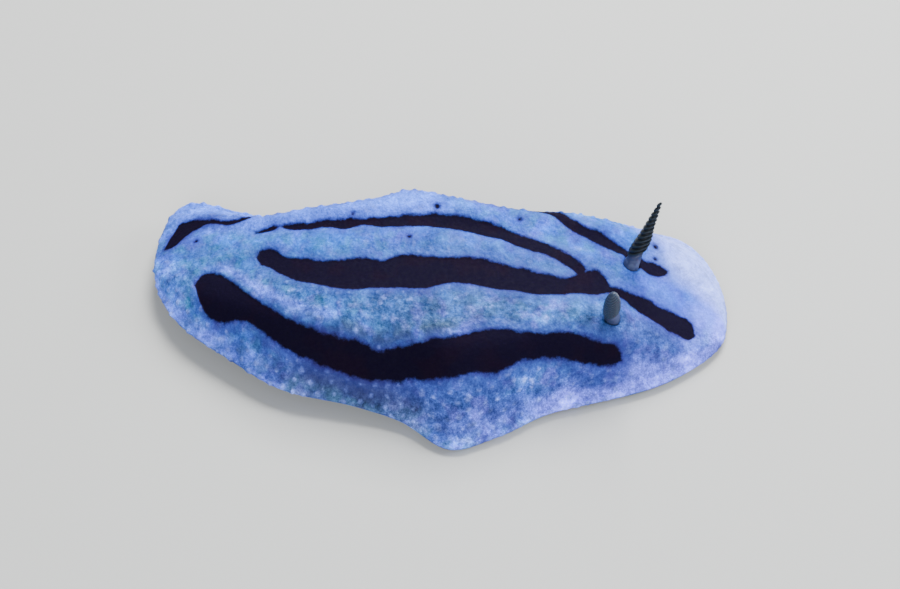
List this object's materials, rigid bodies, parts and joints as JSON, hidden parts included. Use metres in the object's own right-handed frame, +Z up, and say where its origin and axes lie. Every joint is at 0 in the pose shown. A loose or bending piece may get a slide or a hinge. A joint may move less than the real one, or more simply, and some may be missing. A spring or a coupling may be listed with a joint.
{
  "type": "sea slug model",
  "caption": "Life-size still model of a small blue and black warty sea slug creeping on a flat surface, with gilled mantle, foot and two rhinophores.",
  "frame": {"origin": "on the floor, at the centre of the bounding box's underside, under the middle of the foot", "axes": "+X from tail to head, +Y to the animal's left, +Z up; the foot's flat sole lies at Z = 0"},
  "size_m": [0.0205, 0.0108, 0.005],
  "materials": {
    "mantle_skin": "moist satin skin, pale blue with velvet black stripes and pale granules",
    "foot_skin": "moist smooth skin, pale grey blue",
    "oral_skin": "moist smooth skin, pale grey blue",
    "rhinophore_skin": "satin blue black club on a pale grey blue stalk"
  },
  "bodies": {
    "root": {"mantle_head": "mantle_skin", "mantle_middle": "mantle_skin", "mantle_tail": "mantle_skin", "foot": "foot_skin", "oral_tentacles": "oral_skin", "rhinophore_left": "rhinophore_skin", "rhinophore_right": "rhinophore_skin"}
  },
  "joints": []
}
